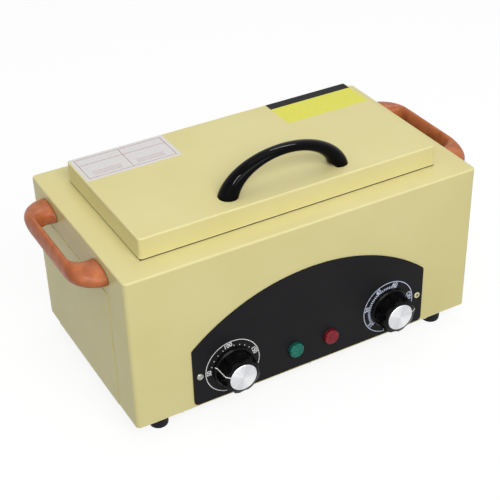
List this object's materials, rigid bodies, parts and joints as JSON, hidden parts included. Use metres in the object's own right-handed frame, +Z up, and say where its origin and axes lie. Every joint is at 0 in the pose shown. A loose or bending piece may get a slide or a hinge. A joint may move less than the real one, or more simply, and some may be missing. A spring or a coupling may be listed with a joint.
{
  "type": "dry heat sterilizer",
  "caption": "Bench-top dry heat sterilizer with a hinged lid over a heated chamber, an arched front panel with a temperature dial and a timer dial, and side carrying handles.",
  "frame": {"origin": "on the table, below the middle of the whole object", "axes": "+Z up, -Y towards the front panel, +X to the right as seen from the front"},
  "size_m": [0.3686, 0.2134, 0.2047],
  "materials": {
    "cream_enamel": "semi-gloss cream enamel",
    "black_panel": "satin black print on sheet",
    "black_plastic": "glossy moulded black",
    "knob_plastic": "semi-gloss moulded black",
    "brown_plastic": "satin moulded brown",
    "spun_metal": "spun and clear coated",
    "stainless": "drawn, bright",
    "zinc_plate": "bright zinc plate",
    "galvanised": "galvanised sheet",
    "steel": "turned steel",
    "brass": "turned brass",
    "rubber": "matt black rubber",
    "seal_rubber": "matt red-brown silicone",
    "wool": "mineral wool",
    "green_lens": "translucent green",
    "red_lens": "translucent red",
    "white_plastic": "natural nylon",
    "phenolic": "dark moulded phenolic"
  },
  "bodies": {
    "case": {"case_shell": "cream_enamel", "bottom_plate": "cream_enamel", "bottom_screws": "zinc_plate", "rubber_feet": "rubber", "foot_screws": "zinc_plate", "front_panel": "black_panel", "panel_screw": "zinc_plate", "panel_rivet": "brass", "temperature_control": "phenolic", "timer": "phenolic", "temperature_nut": "brass", "timer_nut": "brass", "green_lamp_lens": "green_lens", "green_lamp_holder": "white_plastic", "red_lamp_lens": "red_lens", "red_lamp_holder": "white_plastic", "chamber": "stainless", "heating_element": "steel", "heater_clamp_plate": "galvanised", "clamp_nuts": "zinc_plate", "insulation": "wool", "inner_shield": "galvanised", "thermal_cutout": "phenolic", "sensing_bulb": "brass", "terminal_block": "white_plastic", "instrument_tray": "stainless", "tray_handles": "stainless", "carry_handle_left": "brown_plastic", "carry_handle_right": "brown_plastic", "carry_handle_screws": "zinc_plate", "hinge_case_leaves": "zinc_plate", "hinge_pins": "steel", "hinge_case_rivets": "zinc_plate", "cord_bushing": "phenolic"},
    "lid": {"lid_shell": "cream_enamel", "lid_liner": "stainless", "lid_seal": "seal_rubber", "lid_insulation": "wool", "lid_handle": "black_plastic", "lid_handle_screws": "zinc_plate", "hinge_lid_leaves": "zinc_plate", "hinge_lid_rivets": "zinc_plate"},
    "temperature_knob": {"temperature_knob": "knob_plastic", "temperature_knob_cap": "spun_metal", "temperature_shaft": "steel"},
    "timer_knob": {"timer_knob": "knob_plastic", "timer_knob_cap": "spun_metal", "timer_shaft": "steel"}
  },
  "joints": [
    {"name": "lid_hinge", "type": "hinge", "parent": "case", "child": "lid", "pos_m": [0, 0.0762, 0.1582], "axis": [-1, 0, 0], "range_deg": [0, 107]},
    {"name": "temperature_dial", "type": "hinge", "parent": "case", "child": "temperature_knob", "pos_m": [-0.0744, -0.0885, 0.046], "axis": [0, 1, 0], "range_deg": [-95, 178]},
    {"name": "timer_dial", "type": "hinge", "parent": "case", "child": "timer_knob", "pos_m": [0.076, -0.0885, 0.046], "axis": [0, 1, 0], "range_deg": [-257, 0]}
  ]
}
